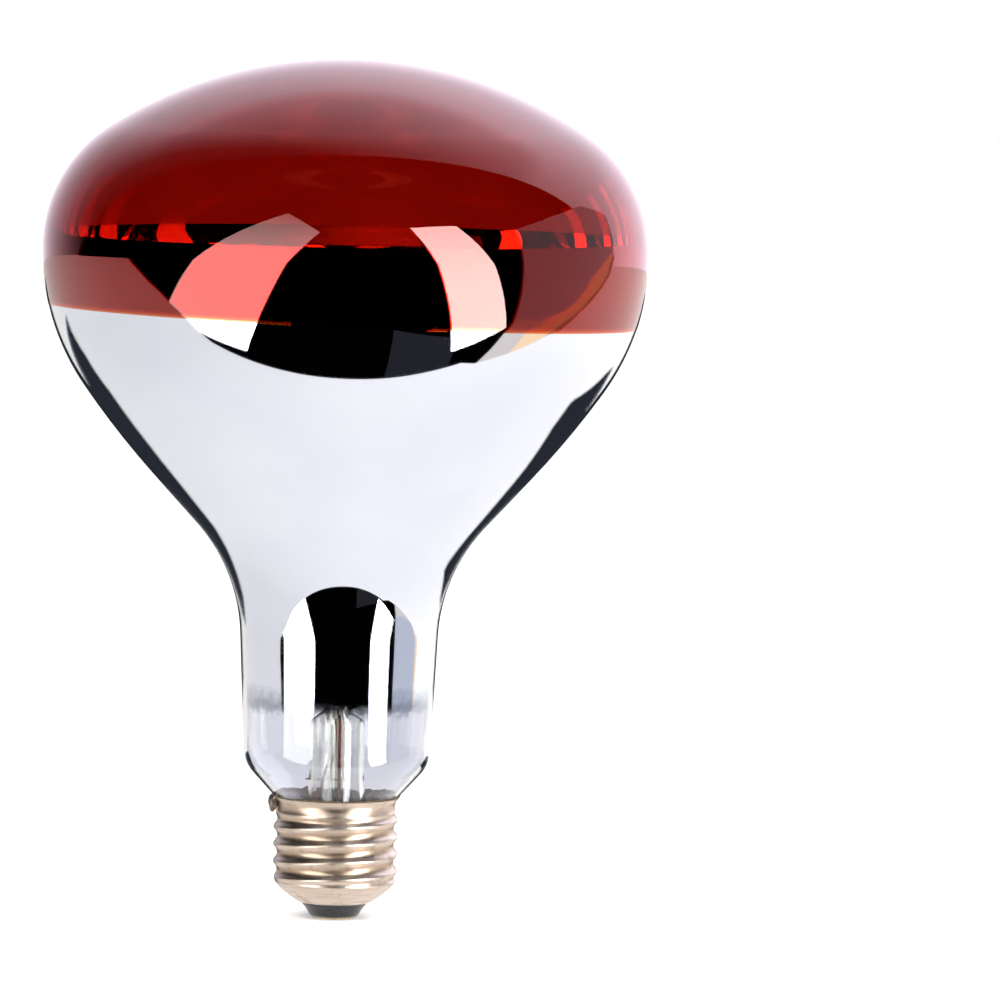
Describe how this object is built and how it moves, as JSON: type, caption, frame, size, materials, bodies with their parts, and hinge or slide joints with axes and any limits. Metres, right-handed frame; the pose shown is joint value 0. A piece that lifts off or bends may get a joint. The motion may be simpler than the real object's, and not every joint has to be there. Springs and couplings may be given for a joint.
{
  "type": "red reflector heat lamp",
  "caption": "Infrared reflector lamp: mushroom-shaped glass bulb with a ruby lacquered face and a mirrored cone, on a screw cap, used to warm poultry and small livestock.",
  "frame": {"origin": "middle of the centre contact's flat face, on the lamp's axis", "axes": "+Z along the lamp's axis from the cap to the face, +X to the right in the front view, where the side lead's solder is at the left"},
  "size_m": [0.1268, 0.1268, 0.1802],
  "materials": {
    "clear_glass": "clear blown soda-lime glass",
    "ruby_lacquer": "transparent ruby lacquer fired on glass, high gloss",
    "aluminium_mirror": "evaporated aluminium film seen through glass",
    "nickelled_brass": "nickel-plated rolled brass, warm and bright",
    "black_glass": "moulded black cap glass, satin",
    "brass": "plain brass plate",
    "solder": "dull soldered metal",
    "basing_cement": "baked basing cement, matt",
    "lead_glass": "clear stem glass",
    "copper_wire": "oxidised copper-coloured wire",
    "nickel_wire": "drawn nickel wire",
    "tungsten_coil": "drawn tungsten wire, grey",
    "molybdenum_wire": "drawn molybdenum wire",
    "aluminium_plate": "bright rolled plate"
  },
  "bodies": {
    "root": {"glass_bulb": "clear_glass", "ruby_lacquer": "ruby_lacquer", "mirror_film": "aluminium_mirror", "screw_shell": "nickelled_brass", "base_insulator": "black_glass", "centre_contact": "brass", "centre_solder": "solder", "side_solder": "solder", "basing_cement": "basing_cement", "stem_flare": "lead_glass", "stem_press": "lead_glass", "exhaust_tube": "lead_glass", "arbor_rod": "lead_glass", "arbor_button": "lead_glass", "heat_deflector": "aluminium_plate", "deflector_collar": "nickel_wire", "outer_lead_centre": "copper_wire", "outer_lead_side": "copper_wire", "seal_wire_a": "copper_wire", "seal_wire_b": "copper_wire", "inner_lead_a": "nickel_wire", "inner_lead_b": "nickel_wire", "filament_crimp_a": "nickel_wire", "filament_crimp_b": "nickel_wire", "filament": "tungsten_coil", "filament_support_1": "molybdenum_wire", "filament_support_2": "molybdenum_wire", "filament_support_3": "molybdenum_wire", "filament_support_4": "molybdenum_wire", "filament_support_5": "molybdenum_wire"}
  },
  "joints": []
}
